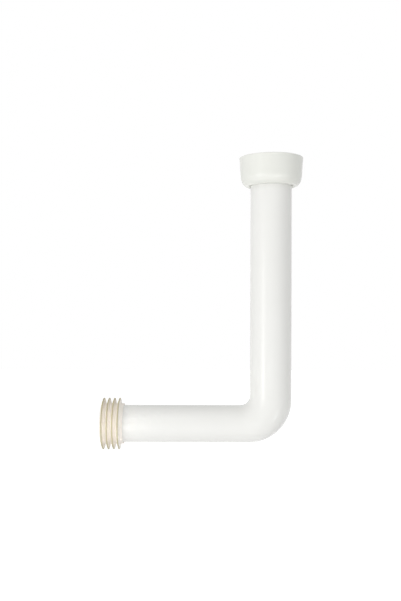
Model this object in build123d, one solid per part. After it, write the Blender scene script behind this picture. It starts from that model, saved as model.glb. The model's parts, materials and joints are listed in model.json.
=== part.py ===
from build123d import *
import os
from math import acos, atan2, cos, degrees, hypot, pi, sin, sqrt

# A flush pipe for a low cistern: a bent plastic pipe, a union nut at its head and a finned rubber cone at its foot.
# Millimetres. Z is up, along the riser, and the outlet leg runs towards -X. The origin is on the riser's axis, at
# the inner end of the nut's thread, just above the washer that the cistern's outlet seats on.

# The pipe: a riser and a narrower outlet leg, joined by a bend with a small round inside and a large one outside.
RISER_DIAMETER = 50.0
LEG_DIAMETER = 45.0
PIPE_WALL = 2.4
LEG_DROP = 299.5
LEG_REACH = 203.2
BEND_INNER_ROUND = 11.8
BEND_OUTER_ROUND = 51.5
BEND_SECTIONS = 7
PIPE_END_CHAMFER = 0.8

# The union at the head, from the riser outwards: a flange, a washer on it, and a thread that lets the washer past.
FLANGE_WIDTH = 5.2
FLANGE_THICKNESS = 3.5
FLANGE_FILLET = 1.0
WASHER_OVERHANG = 0.3
WASHER_BORE_RELIEF = 0.4
WASHER_THICKNESS = 3.0
WASHER_DEPTH = 0.4
THREAD_PASS_GAP = 2.35
THREAD_LEAD_IN = 1.2

# The nut: a cup with a tapering wall, an inside thread and a chamber below it for the flange and the washer.
NUT_HEIGHT = 35.0
NUT_FLOOR = 4.6
NUT_WALL = 4.25
NUT_RIM_FLARE = 1.5
NUT_FOOT_RISE = 14.0
NUT_RIM_ROUND = 1.0
NUT_HOLE_ROUND = 2.6
NUT_RUNNING_GAP = 1.2
NUT_SEAT_GAP = 0.3
RUN_OUT_DEPTH = 0.7
RUN_OUT_WIDTH = 2.2
CHAMBER_GAP = 0.7

# The rubber cone: a sleeve on the end of the leg, with a lip over the pipe's end and fins round it.
CONE_LENGTH = 28.0
CONE_WALL = 2.0
CONE_LIP = 2.5
CONE_NOSE_DROP = 2.1
CONE_GRIP_GAP = 0.1
CONE_EDGE_ROUND = 0.6
FIN_COUNT = 4
FIN_PITCH = 6.4
FIRST_FIN = 3.5
FIN_DIAMETER = 62.0
FIN_TIP = 0.8
FIN_FRONT = 2.2
FIN_BACK = 1.2
FIN_ROOT_FILLET = 0.6

os.makedirs("parts", exist_ok=True)

# Heights along the riser, from the washer's top down to the leg.
washer_top_z = -WASHER_DEPTH
pipe_head_z = washer_top_z - WASHER_THICKNESS
flange_under_z = pipe_head_z - FLANGE_THICKNESS
leg_axis_z = -LEG_DROP

riser_radius = RISER_DIAMETER / 2
leg_radius = LEG_DIAMETER / 2
leg_bore_radius = leg_radius - PIPE_WALL
flange_radius = riser_radius + FLANGE_WIDTH
washer_radius = flange_radius + WASHER_OVERHANG
washer_bore_radius = riser_radius - PIPE_WALL + WASHER_BORE_RELIEF
thread_root_radius = washer_radius + THREAD_PASS_GAP

# The bend turns about the centre of its inner round.
bend_x = -riser_radius - BEND_INNER_ROUND
bend_z = leg_axis_z + leg_radius + BEND_INNER_ROUND


def bend_reach(angle):
    """How far the bend's outer wall is from its turning centre, along a plane turned down by this angle."""
    out_to_riser = RISER_DIAMETER + BEND_INNER_ROUND
    down_to_leg = LEG_DIAMETER + BEND_INNER_ROUND
    round_out = out_to_riser - BEND_OUTER_ROUND
    round_down = down_to_leg - BEND_OUTER_ROUND
    if out_to_riser * sin(angle) <= round_down * cos(angle):
        return out_to_riser / cos(angle)
    if down_to_leg * cos(angle) <= round_out * sin(angle):
        return down_to_leg / sin(angle)
    along = round_out * cos(angle) + round_down * sin(angle)
    across = round_out * sin(angle) - round_down * cos(angle)
    return along + sqrt(BEND_OUTER_ROUND**2 - across**2)


def bend_section(share, inset):
    """A circle between the bend's two walls, a share of the way round, drawn in from both by the inset."""
    angle = share * pi / 2
    reach = bend_reach(angle)
    middle = (reach + BEND_INNER_ROUND) / 2
    radius = (reach - BEND_INNER_ROUND) / 2 - inset
    centre = (bend_x + middle * cos(angle), 0, bend_z - middle * sin(angle))
    along = (-sin(angle), 0, -cos(angle))
    return Plane(origin=centre, x_dir=(0, 1, 0), z_dir=along) * Circle(radius)


def pipe_form(inset, overrun):
    """Riser, bend and leg in one solid, inside the pipe's outside by the inset and past both ends by the overrun."""
    sections = [bend_section(i / (BEND_SECTIONS - 1), inset) for i in range(BEND_SECTIONS)]
    riser = extrude(sections[0], bend_z - pipe_head_z - overrun)
    leg = extrude(sections[-1], LEG_REACH + bend_x + overrun)
    return riser + loft(sections) + leg


def make_flush_pipe():
    """The bent pipe, hollow from end to end, with the flange that the nut draws up against the washer."""
    flange = Pos(0, 0, flange_under_z) * Cylinder(
        flange_radius, FLANGE_THICKNESS, align=(Align.CENTER, Align.CENTER, Align.MIN)
    )
    body = pipe_form(0, 0) + flange
    at_flange = body.edges().filter_by(GeomType.CIRCLE).group_by(Axis.Z)[-2]
    body = fillet(at_flange.sort_by(SortBy.RADIUS)[0], FLANGE_FILLET)
    leg_end = body.edges().filter_by(GeomType.CIRCLE).sort_by(Axis.X)[0]
    body = chamfer(leg_end, PIPE_END_CHAMFER)
    return body - pipe_form(PIPE_WALL, PIPE_WALL)


def make_sealing_washer():
    """The flat rubber ring between the flange and the end of the cistern's outlet."""
    ring = Circle(washer_radius) - Circle(washer_bore_radius)
    return extrude(Pos(0, 0, pipe_head_z) * ring, WASHER_THICKNESS)


def make_coupling_nut():
    """The union nut, turned from one outline: hole, floor, chamber, run-out, thread wall, rim and rounded foot."""
    floor_z = flange_under_z - NUT_SEAT_GAP
    foot_z = floor_z - NUT_FLOOR
    rim_z = foot_z + NUT_HEIGHT
    hole_radius = riser_radius + NUT_RUNNING_GAP
    foot_radius = hole_radius + NUT_HOLE_ROUND
    chamber_radius = washer_radius + CHAMBER_GAP
    run_out_radius = thread_root_radius + RUN_OUT_DEPTH
    waist_radius = thread_root_radius + NUT_WALL
    rim_radius = waist_radius + NUT_RIM_FLARE
    waist_z = foot_z + NUT_FOOT_RISE
    inside = Polyline(
        (hole_radius, foot_z + NUT_HOLE_ROUND),
        (hole_radius, floor_z - FLANGE_FILLET),
        (hole_radius + FLANGE_FILLET, floor_z),
        (chamber_radius, floor_z),
        (chamber_radius, -RUN_OUT_WIDTH),
        (run_out_radius, -RUN_OUT_WIDTH),
        (run_out_radius, 0),
        (thread_root_radius, 0),
        (thread_root_radius, rim_z - THREAD_LEAD_IN),
        (thread_root_radius + THREAD_LEAD_IN, rim_z),
    )
    # The foot is part of an ellipse, and the wall leaves it along the tangent to the rim's corner.
    foot_reach = waist_radius - foot_radius
    rim_out = (rim_radius - foot_radius) / foot_reach
    rim_up = (rim_z - waist_z) / NUT_FOOT_RISE
    tangent_angle = atan2(rim_up, rim_out) - acos(1 / hypot(rim_out, rim_up))
    foot = EllipticalCenterArc(
        (foot_radius, waist_z), foot_reach, NUT_FOOT_RISE, start_angle=-90, arc_size=90 + degrees(tangent_angle)
    )
    rim = FilletPolyline(inside @ 1, (rim_radius, rim_z), foot @ 1, radius=NUT_RIM_ROUND)
    hole_edge = RadiusArc(foot @ 0, inside @ 0, NUT_HOLE_ROUND)
    outline = Plane.XZ * make_face(inside + rim + foot + hole_edge)
    return revolve(outline, Axis.Z)


def make_flush_cone():
    """The rubber cone, turned from one outline about the leg's axis."""
    nose_x = -LEG_REACH - CONE_GRIP_GAP - CONE_LIP
    grip_radius = leg_radius + CONE_GRIP_GAP
    sleeve_radius = grip_radius + CONE_WALL
    fin_radius = FIN_DIAMETER / 2
    points = [(0, leg_bore_radius), (0, sleeve_radius - CONE_NOSE_DROP)]
    rounds = [0, CONE_EDGE_ROUND]
    for fin in range(FIN_COUNT):
        front_x = FIRST_FIN + fin * FIN_PITCH - FIN_TIP / 2
        back_x = front_x + FIN_TIP
        if fin > 0:
            points.append((front_x - FIN_FRONT, sleeve_radius))
            rounds.append(FIN_ROOT_FILLET)
        points += [(front_x, fin_radius), (back_x, fin_radius), (back_x + FIN_BACK, sleeve_radius)]
        rounds += [0, 0, FIN_ROOT_FILLET]
    points += [(CONE_LENGTH, sleeve_radius), (CONE_LENGTH, grip_radius)]
    points += [(CONE_LIP, grip_radius), (CONE_LIP, leg_bore_radius)]
    rounds += [CONE_EDGE_ROUND, 0, 0, 0]
    outline = make_face(FilletPolyline(points, radius=rounds, close=True))
    on_leg = Plane(origin=(nose_x, 0, leg_axis_z), x_dir=(1, 0, 0), z_dir=(0, -1, 0))
    return revolve(on_leg * outline, Axis((0, 0, leg_axis_z), (1, 0, 0)))


pieces = {
    "flush_pipe": make_flush_pipe(),
    "sealing_washer": make_sealing_washer(),
    "coupling_nut": make_coupling_nut(),
    "flush_cone": make_flush_cone(),
}
for name, piece in pieces.items():
    export_step(piece, f"parts/{name}.step")
    print(name, f"{piece.volume / 1000:.1f} cm3", piece.bounding_box())
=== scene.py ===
# %% [markdown]
# # A flush pipe
#
# This is the pipe that carries water from a low toilet cistern to the pan. A white plastic pipe turns through
# a right angle. A union nut at its head screws to the cistern, and a cream rubber cone with fins seals it in
# the pan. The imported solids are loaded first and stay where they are. Every piece made here sits on them, in
# metres, with Z up the riser and the outlet leg running towards -X. Sizes are written in millimetres, and MM
# turns them to metres where a mesh or a node needs them.

# %% Load the solids and keep their box
import json
from math import acos, atan2, cos, hypot, pi, radians, sin, sqrt, tan

import bmesh
import bpy
from mathutils import Matrix, Vector


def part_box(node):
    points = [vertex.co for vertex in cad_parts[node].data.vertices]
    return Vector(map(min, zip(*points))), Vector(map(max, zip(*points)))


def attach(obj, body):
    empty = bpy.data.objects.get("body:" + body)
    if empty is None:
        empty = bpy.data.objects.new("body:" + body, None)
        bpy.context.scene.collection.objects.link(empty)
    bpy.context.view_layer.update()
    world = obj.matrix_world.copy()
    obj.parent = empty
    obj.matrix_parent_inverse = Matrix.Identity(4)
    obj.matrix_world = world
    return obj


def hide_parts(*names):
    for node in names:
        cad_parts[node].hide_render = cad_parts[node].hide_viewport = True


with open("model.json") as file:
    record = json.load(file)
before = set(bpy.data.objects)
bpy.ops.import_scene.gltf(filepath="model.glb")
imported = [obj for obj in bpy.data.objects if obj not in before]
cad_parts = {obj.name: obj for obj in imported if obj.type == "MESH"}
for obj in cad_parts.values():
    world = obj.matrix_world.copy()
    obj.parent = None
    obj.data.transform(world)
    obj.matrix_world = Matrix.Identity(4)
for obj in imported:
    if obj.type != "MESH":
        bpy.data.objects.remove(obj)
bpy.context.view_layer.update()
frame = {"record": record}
MM = 0.001

# %% [markdown]
# ## Tools for the whole file
#
# Colours are given as sRGB hex values and turned to linear light once, here.
# Materials and repeated shapes are both built from nodes. One small function adds a node: it sets the node's
# own options and fills or links its inputs, so each statement below reads as one node.


# %% Colour and node helpers
def linear(hex_code):
    """An sRGB hex colour as linear red, green, blue and alpha."""
    shares = [int(hex_code[i:i + 2], 16) / 255 for i in (1, 3, 5)]
    return [s / 12.92 if s <= 0.04045 else ((s + 0.055) / 1.055) ** 2.4 for s in shares] + [1.0]


def add_node(tree, kind, inputs=(), **options):
    """Adds a node to a tree, sets its options, and sets or links each input that is given."""
    node = tree.nodes.new(kind)
    for option, value in options.items():
        setattr(node, option, value)
    for key, value in dict(inputs).items():
        if isinstance(value, bpy.types.NodeSocket):
            tree.links.new(value, node.inputs[key])
        else:
            node.inputs[key].default_value = value
    return node


def new_material(name):
    """An empty node material, with its tree and the node that ends it."""
    material = bpy.data.materials.new(name)
    material.use_nodes = True
    material.node_tree.nodes.clear()
    return material, material.node_tree, add_node(material.node_tree, "ShaderNodeOutputMaterial")


print("middle grey is", round(linear("#808080")[0], 3), "in linear light")

# %% [markdown]
# ## White PVC for the pipe
#
# The pipe is PVC-U, extruded as a straight tube and bent while warm. Extruded PVC is smooth and glossy, with
# faint lines where it was drawn past the die. The lines follow the tube round its bend, so Object coordinates
# won't do: noise on them would run straight through the turn. The material reads an attribute that the pipe's
# mesh carries instead, each point's place on the tube as it was before bending, and stretches noise along it.
# Real die lines are finer than a pixel here, so they are drawn about 3 mm wide.

# %% Pipe material
DIE_LINE_WIDTH = 3.0 * MM
DIE_LINE_LENGTH = 160.0 * MM
SHEEN_PATCH = 35.0 * MM

pvc, tree, end = new_material("PVC-U white, extruded")
drawn = add_node(tree, "ShaderNodeAttribute", attribute_name="drawn_tube")
stretched = add_node(tree, "ShaderNodeMapping", {
    "Vector": drawn.outputs["Vector"],
    "Scale": (1 / DIE_LINE_WIDTH, 1 / DIE_LINE_WIDTH, 1 / DIE_LINE_LENGTH),
})
die_lines = add_node(tree, "ShaderNodeTexNoise", {
    "Vector": stretched.outputs["Vector"], "Scale": 1.0, "Detail": 2.0})
patches = add_node(tree, "ShaderNodeTexNoise", {
    "Vector": drawn.outputs["Vector"], "Scale": 1 / SHEEN_PATCH, "Detail": 3.0})
tint = add_node(tree, "ShaderNodeMix", {
    "Factor": patches.outputs["Fac"], "A": linear("#F3F3EF"), "B": linear("#F6F6F3"),
}, data_type="RGBA")
gloss = add_node(tree, "ShaderNodeMapRange", {
    "Value": die_lines.outputs["Fac"], "To Min": 0.14, "To Max": 0.2})
drawn_relief = add_node(tree, "ShaderNodeBump", {
    "Height": die_lines.outputs["Fac"], "Strength": 0.06, "Distance": 0.05 * MM})
surface = add_node(tree, "ShaderNodeBsdfPrincipled", {
    "Base Color": tint.outputs["Result"],
    "Roughness": gloss.outputs["Result"],
    "Normal": drawn_relief.outputs["Normal"],
    "IOR": 1.53,
})
tree.links.new(surface.outputs["BSDF"], end.inputs["Surface"])
print("material", pvc.name)

# %% [markdown]
# ## Ivory polypropylene for the nut
#
# The nut is moulded in polypropylene, which is a little yellower than the pipe and a little less glossy. Its
# mould was spark-eroded, so the skin has a fine, even grit. Two layers of noise are enough: a fine one for the
# grit and a broad one for the faint clouds that the melt leaves as it flows. The real grit is too fine to see
# here, so it is drawn at 0.8 mm.

# %% Nut material
GRIT = 0.8 * MM
FLOW_PATCH = 25.0 * MM

polypropylene, tree, end = new_material("Polypropylene ivory, moulded")
place = add_node(tree, "ShaderNodeTexCoord")
grit = add_node(tree, "ShaderNodeTexNoise", {
    "Vector": place.outputs["Object"], "Scale": 1 / GRIT, "Detail": 2.0})
flow = add_node(tree, "ShaderNodeTexNoise", {
    "Vector": place.outputs["Object"], "Scale": 1 / FLOW_PATCH, "Detail": 2.0})
tint = add_node(tree, "ShaderNodeMix", {
    "Factor": flow.outputs["Fac"], "A": linear("#F0F1EA"), "B": linear("#F3F4EE"),
}, data_type="RGBA")
satin = add_node(tree, "ShaderNodeMapRange", {
    "Value": grit.outputs["Fac"], "To Min": 0.19, "To Max": 0.25})
skin_relief = add_node(tree, "ShaderNodeBump", {
    "Height": grit.outputs["Fac"], "Strength": 0.08, "Distance": 0.05 * MM})
surface = add_node(tree, "ShaderNodeBsdfPrincipled", {
    "Base Color": tint.outputs["Result"],
    "Roughness": satin.outputs["Result"],
    "Normal": skin_relief.outputs["Normal"],
    "IOR": 1.49,
})
tree.links.new(surface.outputs["BSDF"], end.inputs["Surface"])
print("material", polypropylene.name)

# %% [markdown]
# ## Cream rubber for the cone
#
# The cone is moulded from natural rubber, and light goes a little way into it. The sleeve is only 2 mm thick
# and the white pipe behind it shows through, so it looks pale. The fins have nothing behind them, and they
# look darker and yellower towards their tips. Tracing light inside the rubber would be noisy, so that light is
# painted into the colour: it follows each point's distance from the leg's axis, whose height the record's
# mount gives, with a painted glow on the sleeve and in the grooves and painted shade towards the fin tips. A
# cloudy bloom varies the colour and the satin gloss over about 6 mm. The grain is drawn at 0.6 mm so that it
# shows.


# %% Where the cone's axis is
def in_mm(metres):
    """A length in metres as millimetres, to the nearest thousandth."""
    return round(metres / MM, 3)


mounts = {mount["name"]: mount for mount in frame["record"]["mounts"]}
LEG_Z = in_mm(mounts["pan_fins"]["pos_m"][2])
print("outlet leg's axis at", LEG_Z, "mm")

# %% Cone material
PALE_RADIUS = 28.0
YELLOW_RADIUS = 30.7
BLOOM_PATCH = 6.0 * MM
RUBBER_GRAIN = 0.6 * MM

cream_rubber, tree, end = new_material("Natural rubber cream, moulded")
place = add_node(tree, "ShaderNodeTexCoord")
bloom = add_node(tree, "ShaderNodeTexNoise", {
    "Vector": place.outputs["Object"], "Scale": 1 / BLOOM_PATCH, "Detail": 3.0})
grain = add_node(tree, "ShaderNodeTexNoise", {
    "Vector": place.outputs["Object"], "Scale": 1 / RUBBER_GRAIN, "Detail": 2.0})
about_leg = add_node(tree, "ShaderNodeMapping", {
    "Vector": place.outputs["Object"], "Location": (0, 0, -LEG_Z * MM), "Scale": (0, 1, 1)})
from_axis = add_node(tree, "ShaderNodeVectorMath", {0: about_leg.outputs["Vector"]}, operation="LENGTH")
# Painted light: the colour runs from a pale painted glow on the sleeve and in the grooves to painted shade at
# the fin tips.
painted_light_along_fin = add_node(tree, "ShaderNodeMapRange", {
    "Value": from_axis.outputs["Value"], "From Min": PALE_RADIUS * MM, "From Max": YELLOW_RADIUS * MM})
sleeve_painted_glow = add_node(tree, "ShaderNodeMix", {
    "Factor": bloom.outputs["Fac"], "A": linear("#FFF8F0"), "B": linear("#FFFBF4"),
}, data_type="RGBA")
fin_painted_shade = add_node(tree, "ShaderNodeMix", {
    "Factor": bloom.outputs["Fac"], "A": linear("#BFB690"), "B": linear("#C9C19E"),
}, data_type="RGBA")
tint = add_node(tree, "ShaderNodeMix", {
    "Factor": painted_light_along_fin.outputs["Result"],
    "A": sleeve_painted_glow.outputs["Result"],
    "B": fin_painted_shade.outputs["Result"],
}, data_type="RGBA")
satin = add_node(tree, "ShaderNodeMapRange", {
    "Value": bloom.outputs["Fac"], "To Min": 0.42, "To Max": 0.55})
skin_relief = add_node(tree, "ShaderNodeBump", {
    "Height": grain.outputs["Fac"], "Strength": 0.1, "Distance": 0.05 * MM})
surface = add_node(tree, "ShaderNodeBsdfPrincipled", {
    "Base Color": tint.outputs["Result"],
    "Roughness": satin.outputs["Result"],
    "Normal": skin_relief.outputs["Normal"],
    "IOR": 1.52,
})
tree.links.new(surface.outputs["BSDF"], end.inputs["Surface"])
print("material", cream_rubber.name)

# %% [markdown]
# ## Black rubber for the washer
#
# The washer is punched from a sheet of EPDM rubber: nearly black and matt, with a fine grain that the sheet
# keeps from the cloth it was pressed against. It only shows down the nut's mouth, so one layer of noise drives
# its colour, its gloss and its relief. The grain is drawn 1.2 mm wide, a few times its real size, so that it
# shows.

# %% Washer material
SHEET_GRAIN = 1.2 * MM

black_rubber, tree, end = new_material("EPDM rubber black, sheet")
place = add_node(tree, "ShaderNodeTexCoord")
grain = add_node(tree, "ShaderNodeTexNoise", {
    "Vector": place.outputs["Object"], "Scale": 1 / SHEET_GRAIN, "Detail": 2.0})
tint = add_node(tree, "ShaderNodeMix", {
    "Factor": grain.outputs["Fac"], "A": linear("#1B1B1C"), "B": linear("#2A2A2A"),
}, data_type="RGBA")
matt = add_node(tree, "ShaderNodeMapRange", {
    "Value": grain.outputs["Fac"], "To Min": 0.55, "To Max": 0.75})
skin_relief = add_node(tree, "ShaderNodeBump", {
    "Height": grain.outputs["Fac"], "Strength": 0.15, "Distance": 0.1 * MM})
surface = add_node(tree, "ShaderNodeBsdfPrincipled", {
    "Base Color": tint.outputs["Result"],
    "Roughness": matt.outputs["Result"],
    "Normal": skin_relief.outputs["Normal"],
    "IOR": 1.5,
})
tree.links.new(surface.outputs["BSDF"], end.inputs["Surface"])
print("material", black_rubber.name)

# %% [markdown]
# ## Finishing a mesh
#
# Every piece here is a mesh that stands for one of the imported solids, or sits in one. Each is finished in the
# same way: points that coincide are joined, the faces turned outwards, and the shading made smooth except at
# true corners. A moulding has no flat facets, so smooth shading is what lets a highlight run along it.


# %% Mesh helpers
SHARP_DEGREES = 35
MERGE_GAP = 0.001 * MM


def finish_mesh(mesh, material):
    """Joins doubles, turns the faces outwards, shades smooth with sharp true corners, and sets the material."""
    work = bmesh.new()
    work.from_mesh(mesh)
    bmesh.ops.remove_doubles(work, verts=work.verts, dist=MERGE_GAP)
    bmesh.ops.recalc_face_normals(work, faces=work.faces)
    work.to_mesh(mesh)
    work.free()
    mesh.shade_smooth()
    mesh.set_sharp_from_angle(angle=radians(SHARP_DEGREES))
    mesh.materials.clear()
    mesh.materials.append(material)
    mesh.update()


def new_piece(name, data):
    """Links a mesh, a lamp or a camera to the scene as an object at the origin."""
    piece = bpy.data.objects.new(name, data)
    bpy.context.scene.collection.objects.link(piece)
    return piece


print("edges that turn by more than", SHARP_DEGREES, "degrees stay sharp")

# %% [markdown]
# ## The bent pipe
#
# The riser is 50 mm across and the leg 45 mm. The bend has a small round inside and a large one outside, so
# its sections grow a little at the middle of the turn. A curve with a round bevel would keep one width, so the
# pipe is built from rings instead. Each ring in the bend lies in a plane through the centre of the inner round
# and reaches to the outer one. The rule below gives that reach for any angle, and the wall is drawn in from it
# for the bore. The solid has the same form, but rings laid along the pipe shade it without a ripple.


# %% Pipe sizes
def node_box(node):
    """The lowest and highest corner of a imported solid, in millimetres."""
    return [[in_mm(c) for c in corner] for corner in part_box(node)]


pipe_low, pipe_high = node_box("flush_pipe")
LEG_END_X = pipe_low[0]
FLANGE_RADIUS = pipe_high[0]
HEAD_Z = pipe_high[2]
RISER_RADIUS = 25.0
LEG_RADIUS = 22.5
PIPE_WALL = 2.4
INNER_ROUND = 11.8
OUTER_ROUND = 51.5
FLANGE_THICKNESS = 3.5
FLANGE_FILLET = 1.0
END_CHAMFER = 0.8
print("pipe head at", HEAD_Z, "mm, leg's end at", LEG_END_X, "mm, flange radius", FLANGE_RADIUS, "mm")

# %% The bend's rule
BEND_X = -RISER_RADIUS - INNER_ROUND
BEND_Z = LEG_Z + LEG_RADIUS + INNER_ROUND


def bend_reach(angle):
    """Distance from the bend's turning centre to its outer wall, along a plane turned down by this angle."""
    out_to_riser = 2 * RISER_RADIUS + INNER_ROUND
    down_to_leg = 2 * LEG_RADIUS + INNER_ROUND
    round_out = out_to_riser - OUTER_ROUND
    round_down = down_to_leg - OUTER_ROUND
    if out_to_riser * sin(angle) <= round_down * cos(angle):
        return out_to_riser / cos(angle)
    if down_to_leg * cos(angle) <= round_out * sin(angle):
        return down_to_leg / sin(angle)
    along = round_out * cos(angle) + round_down * sin(angle)
    across = round_out * sin(angle) - round_down * cos(angle)
    return along + sqrt(OUTER_ROUND**2 - across**2)


print("bend reaches", round(bend_reach(pi / 4), 2), "mm from its turning centre at the middle of the turn")

# %% Helpers that place rings
RINGS_IN_BEND = 48
RING_SPACING = 8.0


def along_riser(z, radius):
    """A ring on the riser, as centre x, centre z, turn and radius."""
    return (0.0, z, 0.0, radius)


def along_leg(x, radius):
    """A ring on the outlet leg, in the same terms."""
    return (x, LEG_Z, pi / 2, radius)


def spaced(start, end):
    """Even steps from start to end, ends included, about a ring's spacing apart."""
    steps = max(1, round(abs(end - start) / RING_SPACING))
    return [start + (end - start) * i / steps for i in range(steps + 1)]


def bend_rings(inset):
    """Rings round the bend, drawn in by the inset, without the first and last, which the straights have."""
    rings = []
    for i in range(1, RINGS_IN_BEND):
        angle = i / RINGS_IN_BEND * pi / 2
        reach = bend_reach(angle)
        middle = (reach + INNER_ROUND) / 2
        radius = (reach - INNER_ROUND) / 2 - inset
        rings.append((BEND_X + middle * cos(angle), BEND_Z - middle * sin(angle), angle, radius))
    return rings


print("rings in the bend", len(bend_rings(0)))

# %% Rings down the outside, and rings down the bore
FILLET_STEPS = 3

flange_under_z = HEAD_Z - FLANGE_THICKNESS
fillet_z = flange_under_z - FLANGE_FILLET
outside = [along_riser(HEAD_Z, FLANGE_RADIUS), along_riser(flange_under_z, FLANGE_RADIUS)]
for step in range(FILLET_STEPS + 1):
    a = pi / 2 * (1 - step / FILLET_STEPS)
    outside.append(along_riser(fillet_z + FLANGE_FILLET * sin(a), RISER_RADIUS + FLANGE_FILLET * (1 - cos(a))))
outside += [along_riser(z, RISER_RADIUS) for z in spaced(fillet_z - FLANGE_FILLET, BEND_Z)]
outside += bend_rings(0)
outside += [along_leg(x, LEG_RADIUS) for x in spaced(BEND_X, LEG_END_X + END_CHAMFER)]
outside += [along_leg(LEG_END_X, LEG_RADIUS - END_CHAMFER)]
bore = [along_riser(z, RISER_RADIUS - PIPE_WALL) for z in spaced(HEAD_Z, BEND_Z)]
bore += bend_rings(PIPE_WALL)
bore += [along_leg(x, LEG_RADIUS - PIPE_WALL) for x in spaced(BEND_X, LEG_END_X)]
print("rings outside", len(outside), "and in the bore", len(bore))

# %% Points on the rings, each with its place on the straight tube
PIPE_SIDES = 160

vertices, straight = [], []
for half in (outside, bore):
    travelled = 0.0
    for i, (x, z, turn, radius) in enumerate(half):
        if i:
            travelled += hypot(x - half[i - 1][0], z - half[i - 1][1])
        for side in range(PIPE_SIDES):
            around = 2 * pi * side / PIPE_SIDES
            outward, sideways = radius * cos(around), radius * sin(around)
            vertices.append(Vector((x + outward * cos(turn), sideways, z - outward * sin(turn))) * MM)
            straight.append(Vector((outward, sideways, travelled)) * MM)
print("pipe points", len(vertices))

# %% Pipe mesh, down the outside and back up the bore
order = list(range(len(outside))) + [len(outside) + i for i in reversed(range(len(bore)))]
faces = []
for ring, after in zip(order, order[1:] + order[:1]):
    for side in range(PIPE_SIDES):
        beside = (side + 1) % PIPE_SIDES
        corners = ((ring, side), (ring, beside), (after, beside), (after, side))
        faces.append([r * PIPE_SIDES + s for r, s in corners])
pipe_mesh = bpy.data.meshes.new("flush_pipe_skin")
pipe_mesh.from_pydata(vertices, [], faces)
drawn_tube = pipe_mesh.attributes.new("drawn_tube", "FLOAT_VECTOR", "POINT")
drawn_tube.data.foreach_set("vector", [c for point in straight for c in point])
finish_mesh(pipe_mesh, pvc)
flush_pipe = new_piece("flush_pipe_skin", pipe_mesh)
print("pipe faces", len(pipe_mesh.polygons))

# %% [markdown]
# ## Turned pieces
#
# The nut, the washer and the cone are round about one line, as if turned on a lathe. Blender's lathe is the
# Screw modifier: it sweeps an outline round an axis. A Bevel modifier could round the corners afterwards, but
# an outline can have its own round at each corner. Every straight run gets a point close to both its ends,
# which keeps the shading of the round from bleeding along the run.


# %% Outlines with rounded corners
ROUND_STEPS = 8
HOLD = 0.2
LONG_RUN = 4 * HOLD


def rounded(corners, closed):
    """An outline from (radius, height, round) corners: arcs at the rounds, held at the ends of long runs."""
    points = []
    for i, (x, y, size) in enumerate(corners):
        inner = closed or 0 < i < len(corners) - 1
        if not size or not inner:
            points.append((x, y))
            continue
        here = Vector((x, y))
        before = (Vector(corners[i - 1][:2]) - here).normalized()
        after = (Vector(corners[(i + 1) % len(corners)][:2]) - here).normalized()
        half = before.angle(after) / 2
        centre = here + (before + after).normalized() * (size / sin(half))
        start = here + before * (size / tan(half)) - centre
        sweep = start.angle_signed(here + after * (size / tan(half)) - centre)
        for step in range(ROUND_STEPS + 1):
            spoke = start.copy()
            spoke.rotate(Matrix.Rotation(-sweep * step / ROUND_STEPS, 2))
            points.append(tuple(centre + spoke))
    held = []
    for i, point in enumerate(points):
        held.append(point)
        if i + 1 < len(points) or closed:
            a, b = Vector(point), Vector(points[(i + 1) % len(points)])
            if (b - a).length > LONG_RUN:
                step = (b - a).normalized() * HOLD
                held += [tuple(a + step), tuple(b - step)]
    return held


print("each round has", ROUND_STEPS, "steps")

# %% The lathe
LATHE_STEPS = 192


def lathe(name, outline, closed):
    """Turns an outline of (radius, height) points in millimetres round Z, as a plain mesh in metres."""
    mesh = bpy.data.meshes.new(name)
    edges = [(i, i + 1) for i in range(len(outline) - 1)]
    if closed:
        edges.append((len(outline) - 1, 0))
    mesh.from_pydata([(r * MM, 0, h * MM) for r, h in outline], edges, [])
    blank = new_piece(name + "_outline", mesh)
    screw = blank.modifiers.new("lathe", "SCREW")
    screw.axis = "Z"
    screw.angle = 2 * pi
    screw.steps = screw.render_steps = LATHE_STEPS
    screw.use_merge_vertices = True
    screw.merge_threshold = MERGE_GAP
    turned = bpy.data.meshes.new_from_object(blank.evaluated_get(bpy.context.evaluated_depsgraph_get()))
    bpy.data.objects.remove(blank)
    turned.name = name
    return turned


print("the lathe turns in", LATHE_STEPS, "steps")

# %% [markdown]
# ## The union nut
#
# The nut is a smooth cup with its mouth upwards. Its foot is part of an ellipse that rolls round to the hole
# for the pipe, and the wall leaves the ellipse along its tangent and runs straight to the rim, so no edge
# shows between the two. Inside are a chamber for the flange and the washer, a relief where the thread runs
# out, and the thread's wall with a lead-in at the mouth. One closed outline on the lathe makes all of it.

# %% Nut sizes
nut_low, nut_high = node_box("coupling_nut")
FOOT_Z = nut_low[2]
RIM_Z = nut_high[2]
ROOT_RADIUS = mounts["cistern_thread"]["dims"]["r_mm"]
FLOOR_THICKNESS = 4.6
HOLE_RADIUS = 26.2
HOLE_ROUND = 2.6
CHAMBER_RADIUS = 31.2
RELIEF_RADIUS = 33.55
RELIEF_Z = -2.2
LEAD_IN = 1.2
RIM_RADIUS = 38.6
RIM_ROUND = 1.0
WAIST_RADIUS = 37.1
FOOT_RISE = 14.0
SOFT_EDGE = 0.3
print("nut from", FOOT_Z, "to", RIM_Z, "mm, thread's root at radius", ROOT_RADIUS, "mm")

# %% The nut's foot, from the wall's tangent down to the hole
FOOT_STEPS = 28

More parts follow.
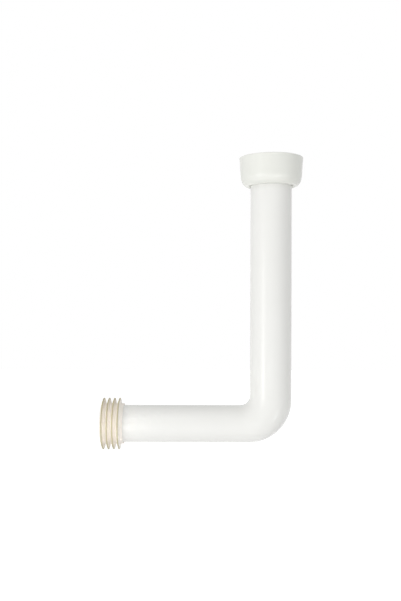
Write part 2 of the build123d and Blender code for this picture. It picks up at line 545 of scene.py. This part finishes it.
foot_centre = HOLE_RADIUS + HOLE_ROUND
foot_reach = WAIST_RADIUS - foot_centre
waist_z = FOOT_Z + FOOT_RISE
rim_out = (RIM_RADIUS - foot_centre) / foot_reach
rim_up = (RIM_Z - waist_z) / FOOT_RISE
tangent = acos(1 / hypot(rim_out, rim_up)) - atan2(rim_up, rim_out)
foot = []
for step in range(FOOT_STEPS):
    a = tangent + (pi / 2 - tangent) * step / FOOT_STEPS
    foot.append((foot_centre + foot_reach * cos(a), waist_z - FOOT_RISE * sin(a), 0))
for step in range(ROUND_STEPS + 1):
    a = pi / 2 * step / ROUND_STEPS
    foot.append((foot_centre - HOLE_ROUND * sin(a), FOOT_Z + HOLE_ROUND * (1 - cos(a)), 0))
print("foot points", len(foot))

# %% Nut outline and mesh
floor_z = FOOT_Z + FLOOR_THICKNESS
nut_corners = [
    (HOLE_RADIUS, floor_z - FLANGE_FILLET, 0),
    (HOLE_RADIUS + FLANGE_FILLET, floor_z, 0),
    (CHAMBER_RADIUS, floor_z, SOFT_EDGE),
    (CHAMBER_RADIUS, RELIEF_Z, 0),
    (RELIEF_RADIUS, RELIEF_Z, SOFT_EDGE),
    (RELIEF_RADIUS, 0, SOFT_EDGE),
    (ROOT_RADIUS, 0, 0),
    (ROOT_RADIUS, RIM_Z - LEAD_IN, 0),
    (ROOT_RADIUS + LEAD_IN, RIM_Z, SOFT_EDGE),
    (RIM_RADIUS, RIM_Z, RIM_ROUND),
    *foot,
]
nut_mesh = lathe("coupling_nut_skin", rounded(nut_corners, True), True)
finish_mesh(nut_mesh, polypropylene)
coupling_nut = new_piece("coupling_nut_skin", nut_mesh)
print("nut faces", len(nut_mesh.polygons))

# %% [markdown]
# ## The nut's thread
#
# A ridge winds up the inside of the nut, right-handed, with the 2.309 mm pitch that pipe threads of this size
# have. The Screw modifier could wind it too, but it can't thin the ridge at both ends, where a real thread
# runs out. So Geometry Nodes make it: a spiral, a trapezium with rounded corners swept along it, and a size
# that fades at the ends. The named inputs hold its sizes.


# %% Helpers for geometry trees
def new_tree(name, sizes):
    """A geometry tree with a geometry and a material input, and one number input for each size."""
    tree = bpy.data.node_groups.new(name, "GeometryNodeTree")
    tree.interface.new_socket("Geometry", in_out="INPUT", socket_type="NodeSocketGeometry")
    tree.interface.new_socket("Geometry", in_out="OUTPUT", socket_type="NodeSocketGeometry")
    for size, value in sizes.items():
        kind = "NodeSocketInt" if isinstance(value, int) else "NodeSocketFloat"
        tree.interface.new_socket(size, in_out="INPUT", socket_type=kind)
    tree.interface.new_socket("Material", in_out="INPUT", socket_type="NodeSocketMaterial")
    return tree, add_node(tree, "NodeGroupInput").outputs, add_node(tree, "NodeGroupOutput")


def run_tree(piece, tree, values):
    """Runs a tree on a piece with these inputs, and leaves the piece with the result as a plain mesh."""
    modifier = piece.modifiers.new(tree.name, "NODES")
    modifier.node_group = tree
    for socket in tree.interface.items_tree:
        if socket.in_out == "INPUT" and socket.name in values:
            modifier[socket.identifier] = values[socket.name]
    made = bpy.data.meshes.new_from_object(piece.evaluated_get(bpy.context.evaluated_depsgraph_get()))
    piece.modifiers.clear()
    made.name = piece.name
    piece.data = made


print("helpers", new_tree.__name__, "and", run_tree.__name__)

# %% Thread sizes
THREAD_PITCH = 2.309
THREAD_DEPTH = 1.45
THREAD_BITE = 0.15
THREAD_START_Z = 0.6
THREAD_END_Z = 21.4
BASE_SHARE = 0.92
CREST_SHARE = 0.2
CORNER_SHARE = 0.09
FADE_SHARE = 0.05
FADED_SIZE = 0.02
STEPS_PER_TURN = 128

thread_sizes = {
    "Root radius": (ROOT_RADIUS + THREAD_BITE) * MM,
    "Depth": (THREAD_DEPTH + THREAD_BITE) * MM,
    "Base width": THREAD_PITCH * BASE_SHARE * MM,
    "Crest width": THREAD_PITCH * CREST_SHARE * MM,
    "Corner round": THREAD_PITCH * CORNER_SHARE * MM,
    "Start height": THREAD_START_Z * MM,
    "Rise": (THREAD_END_Z - THREAD_START_Z) * MM,
    "Turns": (THREAD_END_Z - THREAD_START_Z) / THREAD_PITCH,
    "Fade share": FADE_SHARE,
    "Faded size": FADED_SIZE,
    "Steps per turn": STEPS_PER_TURN,
}
tree, given, result = new_tree("inside thread", thread_sizes)
print("thread turns", round(thread_sizes["Turns"], 2))

# %% Thread path, which knows how far each point is from its nearer end
path = add_node(tree, "GeometryNodeCurveSpiral", {
    "Resolution": given["Steps per turn"], "Rotations": given["Turns"],
    "Start Radius": given["Root radius"], "End Radius": given["Root radius"],
    "Height": given["Rise"], "Reverse": True,
})
lift = add_node(tree, "ShaderNodeCombineXYZ", {"Z": given["Start height"]})
lifted = add_node(tree, "GeometryNodeTransform", {
    "Geometry": path.outputs["Curve"], "Translation": lift.outputs["Vector"]})
level = add_node(tree, "GeometryNodeSetCurveNormal", {"Curve": lifted.outputs["Geometry"]}, mode="Z_UP")
travel = add_node(tree, "GeometryNodeSplineParameter")
to_go = add_node(tree, "ShaderNodeMath", {0: 1.0, 1: travel.outputs["Factor"]}, operation="SUBTRACT")
nearer_end = add_node(tree, "ShaderNodeMath", {
    0: travel.outputs["Factor"], 1: to_go.outputs[0]}, operation="MINIMUM")
fade = add_node(tree, "ShaderNodeMapRange", {
    "Value": nearer_end.outputs[0], "From Max": given["Fade share"], "To Min": given["Faded size"]})
print("nodes in the thread's path", len(tree.nodes))

# %% [markdown]
# Along a spiral that climbs anticlockwise, a profile's X points away from the nut's axis and its Y points
# down. So the trapezium is turned a quarter, and moved in by half its depth, to sit with its wide side in the
# wall and its crest inwards.

# %% Thread profile
ridge = add_node(tree, "GeometryNodeCurvePrimitiveQuadrilateral", {
    "Height": given["Depth"], "Bottom Width": given["Base width"], "Top Width": given["Crest width"],
    "Offset": 0.0,
}, mode="TRAPEZOID")
inwards = add_node(tree, "ShaderNodeMath", {0: given["Depth"], 1: -0.5}, operation="MULTIPLY")
seat = add_node(tree, "ShaderNodeCombineXYZ", {"X": inwards.outputs[0]})
seated = add_node(tree, "GeometryNodeTransform", {
    "Geometry": ridge.outputs["Curve"], "Rotation": (0, 0, pi / 2), "Translation": seat.outputs["Vector"]})
softened = add_node(tree, "GeometryNodeFilletCurve", {
    "Curve": seated.outputs["Geometry"], "Count": 3, "Radius": given["Corner round"], "Limit Radius": True,
}, mode="POLY")
print("nodes in the thread's path and profile", len(tree.nodes))

# %% Thread mesh
swept = add_node(tree, "GeometryNodeCurveToMesh", {
    "Curve": level.outputs["Curve"], "Profile Curve": softened.outputs["Curve"],
    "Scale": fade.outputs["Result"], "Fill Caps": True,
})
solid = add_node(tree, "GeometryNodeRealizeInstances", {"Geometry": swept.outputs["Mesh"]})
coated = add_node(tree, "GeometryNodeSetMaterial", {
    "Geometry": solid.outputs["Geometry"], "Material": given["Material"]})
tree.links.new(coated.outputs["Geometry"], result.inputs["Geometry"])
nut_thread = new_piece("nut_thread", bpy.data.meshes.new("nut_thread"))
run_tree(nut_thread, tree, {**thread_sizes, "Material": polypropylene})
finish_mesh(nut_thread.data, polypropylene)
reach = [in_mm(hypot(v.co.x, v.co.y)) for v in nut_thread.data.vertices]
print("thread faces", len(nut_thread.data.polygons), "radius", min(reach), "to", max(reach), "mm")

# %% [markdown]
# ## The washer
#
# The washer is a flat ring that lies on the pipe's flange, inside the nut, where the end of the cistern's
# outlet presses on it. A plain tube would do for so simple a ring, but cut rubber never keeps a knife edge. So
# four corners go on the lathe, each with a small round that catches the light.

# %% Washer outline and mesh
washer_low, washer_high = node_box("sealing_washer")
WASHER_RADIUS = washer_high[0]
WASHER_BORE_RADIUS = 23.0
WASHER_EDGE = 0.4

washer_corners = [
    (WASHER_BORE_RADIUS, washer_low[2], WASHER_EDGE),
    (WASHER_RADIUS, washer_low[2], WASHER_EDGE),
    (WASHER_RADIUS, washer_high[2], WASHER_EDGE),
    (WASHER_BORE_RADIUS, washer_high[2], WASHER_EDGE),
]
washer_mesh = lathe("sealing_washer_skin", rounded(washer_corners, True), True)
finish_mesh(washer_mesh, black_rubber)
sealing_washer = new_piece("sealing_washer_skin", washer_mesh)
print("washer faces", len(washer_mesh.polygons))

# %% [markdown]
# ## The finned cone
#
# The cone is a sleeve that grips the end of the leg, with a lip over the pipe's end and four thin fins. The
# first fin starts at the nose and the other three are alike, one pitch apart. So the core, with the first fin,
# is turned on the lathe and left open where the other fins go. One fin with its stretch of sleeve is turned
# too. Geometry Nodes put a copy at each pitch, join them to the core and weld the seams. The whole cone could
# be one outline, but a tree lets the number of fins and their pitch be changed in one place.

# %% Cone sizes
cone_low, cone_high = node_box("flush_cone")
NOSE_X = cone_low[0]
CONE_LENGTH = cone_high[0] - NOSE_X
FIN_RADIUS = mounts["pan_fins"]["dims"]["r_mm"]
SLEEVE_RADIUS = 24.6
NOSE_RADIUS = 22.5
GRIP_RADIUS = 22.6
LIP = 2.5
LIP_RADIUS = LEG_RADIUS - PIPE_WALL
FIN_PITCH = 6.4
FIRST_FIN = 3.5
LATER_FINS = 3
FIN_TIP = 0.8
TIP_ROUND = 0.36
FIN_FRONT = 2.2
FIN_BACK = 1.2
FIN_ROOT = 0.6
EDGE_ROUND = 0.6
SEAM_AFTER_FIN = 2.7
print("cone's nose at", NOSE_X, "mm, length", CONE_LENGTH, "mm, fin radius", FIN_RADIUS, "mm")


# %% Outlines of the core and of the fin that repeats
def fin_corners(x):
    """The tip and the back of a fin at x, down to the seam behind it."""
    return [
        (FIN_RADIUS, x - FIN_TIP / 2, TIP_ROUND),
        (FIN_RADIUS, x + FIN_TIP / 2, TIP_ROUND),
        (SLEEVE_RADIUS, x + FIN_TIP / 2 + FIN_BACK, FIN_ROOT),
        (SLEEVE_RADIUS, x + SEAM_AFTER_FIN, 0),
    ]


last_seam = FIRST_FIN + LATER_FINS * FIN_PITCH + SEAM_AFTER_FIN
core_corners = [
    (SLEEVE_RADIUS, last_seam, 0),
    (SLEEVE_RADIUS, CONE_LENGTH, EDGE_ROUND),
    (GRIP_RADIUS, CONE_LENGTH, SOFT_EDGE),
    (GRIP_RADIUS, LIP, 0),
    (LIP_RADIUS, LIP, SOFT_EDGE),
    (LIP_RADIUS, 0, SOFT_EDGE),
    (NOSE_RADIUS, 0, EDGE_ROUND),
    *fin_corners(FIRST_FIN),
]
fin_ring_corners = [
    (SLEEVE_RADIUS, SEAM_AFTER_FIN - FIN_PITCH, 0),
    (SLEEVE_RADIUS, -FIN_TIP / 2 - FIN_FRONT, FIN_ROOT),
    *fin_corners(0),
]
print("core corners", len(core_corners), "fin corners", len(fin_ring_corners))

# %% Core and fin, turned and laid on the leg
# The lathe's Z becomes X along the leg, and its X points down.
lathe_to_leg = Matrix(((0, 0, 1, NOSE_X * MM), (0, 1, 0, 0), (-1, 0, 0, LEG_Z * MM), (0, 0, 0, 1)))
core_mesh = lathe("flush_cone_skin", rounded(core_corners, False), False)
core_mesh.transform(lathe_to_leg)
fin_mesh = lathe("fin_ring", rounded(fin_ring_corners, False), False)
fin_mesh.transform(lathe_to_leg)
flush_cone = new_piece("flush_cone_skin", core_mesh)
fin_ring = new_piece("fin_ring", fin_mesh)
print("core faces", len(core_mesh.polygons), "fin faces", len(fin_mesh.polygons))

# %% Fin tree
WELD_GAP = 0.01 * MM

fin_sizes = {
    "Fin pitch": FIN_PITCH * MM,
    "First place": (FIRST_FIN + FIN_PITCH) * MM,
    "Weld gap": WELD_GAP,
    "Fins": LATER_FINS,
}
tree, given, result = new_tree("cone fins", fin_sizes)
first = add_node(tree, "ShaderNodeCombineXYZ", {"X": given["First place"]})
pitch = add_node(tree, "ShaderNodeCombineXYZ", {"X": given["Fin pitch"]})
places = add_node(tree, "GeometryNodeMeshLine", {
    "Count": given["Fins"], "Start Location": first.outputs["Vector"], "Offset": pitch.outputs["Vector"],
}, mode="OFFSET")
fin_shape = add_node(tree, "GeometryNodeObjectInfo", {"Object": fin_ring})
copies = add_node(tree, "GeometryNodeInstanceOnPoints", {
    "Points": places.outputs["Mesh"], "Instance": fin_shape.outputs["Geometry"]})
joined = add_node(tree, "GeometryNodeJoinGeometry")
tree.links.new(given["Geometry"], joined.inputs["Geometry"])
tree.links.new(copies.outputs["Instances"], joined.inputs["Geometry"])
solid = add_node(tree, "GeometryNodeRealizeInstances", {"Geometry": joined.outputs["Geometry"]})
welded = add_node(tree, "GeometryNodeMergeByDistance", {
    "Geometry": solid.outputs["Geometry"], "Distance": given["Weld gap"]})
coated = add_node(tree, "GeometryNodeSetMaterial", {
    "Geometry": welded.outputs["Geometry"], "Material": given["Material"]})
tree.links.new(coated.outputs["Geometry"], result.inputs["Geometry"])
print("nodes in the fin tree", len(tree.nodes))

# %% Cone mesh
run_tree(flush_cone, tree, {**fin_sizes, "Material": cream_rubber})
bpy.data.objects.remove(fin_ring)
finish_mesh(flush_cone.data, cream_rubber)
edge_uses = {}
for face in flush_cone.data.polygons:
    for key in face.edge_keys:
        edge_uses[key] = edge_uses.get(key, 0) + 1
print("cone faces", len(flush_cone.data.polygons), "open edges", sum(n != 2 for n in edge_uses.values()))

# %% [markdown]
# ## What moves with what
#
# The nut turns on the pipe, so its skin and its thread ride on the nut's body. The pipe, the washer and the
# cone ride on the pipe's. Each skin stands for its solid, which stays in the frame for the physics.

# %% Ride on the bodies, and hide the solids
for piece, body, node, slot in (
    (flush_pipe, "pipe", "flush_pipe", "pipe_plastic"),
    (sealing_washer, "pipe", "sealing_washer", "washer_rubber"),
    (coupling_nut, "nut", "coupling_nut", "nut_plastic"),
    (flush_cone, "pipe", "flush_cone", "cone_rubber"),
):
    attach(piece, body)
    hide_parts(node)
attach(nut_thread, "nut")
print("pieces ride on their bodies")

# %% [markdown]
# ## Floor and room
#
# The pipe hangs from its nut, so the floor is well below it. It is matt white and takes the pipe's shadow.
# White paint alone would look grey in this soft light, and more light would bleach the pipe. So the floor also
# glows, but only for the camera and in reflections: less near the pipe, where the shadow lies, and more
# further out. The room does the same. It shows white, and gives the surfaces only a little even light.


# %% Which rays see the background
def sees_background(tree):
    """Adds nodes that give 1 for a ray from the camera, a mirror or a clear piece, and 0 for light."""
    ray = add_node(tree, "ShaderNodeLightPath")
    mirrored = add_node(tree, "ShaderNodeMath", {
        0: ray.outputs["Is Camera Ray"], 1: ray.outputs["Is Glossy Ray"]}, operation="MAXIMUM")
    cleared = add_node(tree, "ShaderNodeMath", {
        0: mirrored.outputs[0], 1: ray.outputs["Is Transmission Ray"]}, operation="MAXIMUM")
    return cleared.outputs[0]


print("helper", sees_background.__name__)

# %% Floor
FLOOR_Z = -0.8
FLOOR_HALF = 6.0
PIPE_MIDDLE = Vector((-85.0, 0.0, -150.0)) * MM
SHADOW_REACH = 0.5
WHITE_REACH = 1.4
NEAR_GLOW = 0.5
FAR_GLOW = 0.75

floor_corners = [(x * FLOOR_HALF, y * FLOOR_HALF, FLOOR_Z) for x, y in ((-1, -1), (1, -1), (1, 1), (-1, 1))]
floor_mesh = bpy.data.meshes.new("floor")
floor_mesh.from_pydata(floor_corners, [], [(0, 1, 2, 3)])
floor = new_piece("floor", floor_mesh)
floor_paint, tree, end = new_material("floor paint white, matt")
place = add_node(tree, "ShaderNodeTexCoord")
apart = add_node(tree, "ShaderNodeVectorMath", {
    0: place.outputs["Object"], 1: (PIPE_MIDDLE.x, PIPE_MIDDLE.y, FLOOR_Z)}, operation="DISTANCE")
fill = add_node(tree, "ShaderNodeMapRange", {
    "Value": apart.outputs["Value"], "From Min": SHADOW_REACH, "From Max": WHITE_REACH,
    "To Min": NEAR_GLOW, "To Max": FAR_GLOW,
}, interpolation_type="SMOOTHSTEP")
glow = add_node(tree, "ShaderNodeMath", {
    0: sees_background(tree), 1: fill.outputs["Result"]}, operation="MULTIPLY")
matt_white = add_node(tree, "ShaderNodeBsdfDiffuse", {"Color": linear("#F0F0F0")})
lift = add_node(tree, "ShaderNodeEmission", {"Color": linear("#FFFFFF"), "Strength": glow.outputs[0]})
both = add_node(tree, "ShaderNodeAddShader", {0: matt_white.outputs["BSDF"], 1: lift.outputs["Emission"]})
tree.links.new(both.outputs["Shader"], end.inputs["Surface"])
floor_mesh.materials.append(floor_paint)
print("floor at", FLOOR_Z, "m")

# %% Room
ROOM_LIGHT = 0.41

world = bpy.data.worlds.new("white room")
bpy.context.scene.world = world
world.use_nodes = True
tree = world.node_tree
tree.nodes.clear()
even_light = add_node(tree, "ShaderNodeBackground", {"Color": linear("#FFFFFF"), "Strength": ROOM_LIGHT})
white_wall = add_node(tree, "ShaderNodeBackground", {"Color": linear("#FFFFFF"), "Strength": 1.0})
room = add_node(tree, "ShaderNodeMixShader", {
    0: sees_background(tree), 1: even_light.outputs["Background"], 2: white_wall.outputs["Background"]})
sky = add_node(tree, "ShaderNodeOutputWorld")
tree.links.new(room.outputs["Shader"], sky.inputs["Surface"])
print("room light", ROOM_LIGHT)

# %% [markdown]
# ## Lamps
#
# Six large panels light the pipe softly from all round. The left one is stronger than the right one, which
# gives the tubes their shade, and the back one brightens their edges. They are kept out of reflections, so the
# glossy plastic stays calm. Three smaller strips are kept in them, and draw the pale bands on the riser, the
# leg and the elbow. The last lamp has a beam only 5 degrees wide, which lifts the rubber cone and little else.
# One large lamp would be simpler, but each of these can be matched to one part of the picture.

# %% Lamps round the pipe
ELBOW = Vector((5.0, -23.0, -289.0)) * MM
CONE_MIDDLE = Vector((-192.0, 0.0, LEG_Z)) * MM
LAMPS = (
    # Name, aim, degrees to the right of the camera, degrees up, distance, width and height in metres, watts,
    # spread in degrees, and whether it shows in reflections.
    ("left panel", PIPE_MIDDLE, -50, -5, 1.4, 0.7, 0.7, 5.0, 180, False),
    ("high left panel", PIPE_MIDDLE, -80, 50, 1.4, 0.7, 0.7, 1.6, 180, False),
    ("right panel", PIPE_MIDDLE, 50, 0, 1.4, 0.7, 0.7, 1.5, 180, False),
    ("back panel", PIPE_MIDDLE, 180, -2, 1.4, 0.8, 0.7, 7.0, 180, False),
    ("low front panel", PIPE_MIDDLE, 0, -16, 1.4, 0.9, 0.5, 2.5, 180, False),
    ("high front panel", PIPE_MIDDLE, 0, 40, 1.4, 0.9, 0.5, 2.4, 180, False),
    ("left strip", PIPE_MIDDLE, -43, 0, 0.95, 0.3, 0.25, 0.26, 180, True),
    ("low left strip", PIPE_MIDDLE, -43, -14, 0.98, 0.3, 0.24, 0.55, 180, True),
    ("low right strip", ELBOW, 44, -23, 0.8, 0.09, 0.2, 0.3, 180, True),
    ("cone lamp", CONE_MIDDLE, 0, -6, 1.0, 0.06, 0.06, 0.0035, 5, False),
)


def add_lamp(name, aim, azimuth, elevation, distance, width, height, watts, spread):
    """A flat lamp that faces a place on the pipe. The camera doesn't see it."""
    a, e = radians(azimuth), radians(elevation)
    towards = Vector((sin(a) * cos(e), -cos(a) * cos(e), sin(e)))
    light = bpy.data.lights.new(name, "AREA")
    light.shape = "RECTANGLE"
    light.size = width
    light.size_y = height
    light.energy = watts
    light.spread = radians(spread)
    lamp = new_piece(name, light)
    lamp.location = aim + towards * distance
    lamp.rotation_euler = towards.to_track_quat("Z", "Y").to_euler()
    lamp.visible_camera = False
    return lamp


for *settings, in_reflections in LAMPS:
    add_lamp(*settings).visible_glossy = in_reflections
print("lamps", [lamp[0] for lamp in LAMPS])

# %% [markdown]
# ## A line of light on the nut's foot
#
# A thin highlight runs round the front of the nut, where its wall turns under. It comes from a long, low,
# narrow lamp that the nut mirrors. Seen in the pipe, that lamp would draw a line along the outlet leg too, so
# light linking keeps it to the nut, as a black card does in a studio. It is there for its mirror image alone,
# and adds no even light.

# %% Strip for the nut's foot
NUT_FOOT = Vector((0.0, -36.0, -4.0)) * MM

foot_strip = add_lamp(
    "foot strip", NUT_FOOT, azimuth=15, elevation=-24.5, distance=0.5,
    width=0.9, height=0.02, watts=0.7, spread=180,
)
foot_strip.visible_diffuse = False
nut_only = bpy.data.collections.new("lit by the foot strip")
nut_only.objects.link(coupling_nut)
foot_strip.light_linking.receiver_collection = nut_only

# %% [markdown]
# ## Camera
#
# The photo looks straight along Y at the middle of the pipe's height, from near enough that the nut is seen
# a little from below. The camera's place, its lens and a very small roll were fitted until the pipe's edges
# fell where the photo has them. The lens follows from the picture's height and the focal length in pixels.

# %% Camera
CAMERA_AT = Vector((-85.45, -899.0, -150.0)) * MM
PICTURE_HEIGHT = 601
FOCAL_PIXELS = 740.0
SENSOR_HEIGHT = 36.0
ROLL = -0.0026

camera_data = bpy.data.cameras.new("camera")
camera_data.sensor_fit = "VERTICAL"
camera_data.sensor_height = SENSOR_HEIGHT
camera_data.lens = FOCAL_PIXELS / PICTURE_HEIGHT * SENSOR_HEIGHT
camera = new_piece("camera", camera_data)
camera.location = CAMERA_AT
camera.rotation_euler = (pi / 2, ROLL, 0)
bpy.context.scene.camera = camera
bpy.context.scene.view_settings.view_transform = "Standard"
print("camera lens", round(camera_data.lens, 2), "mm")
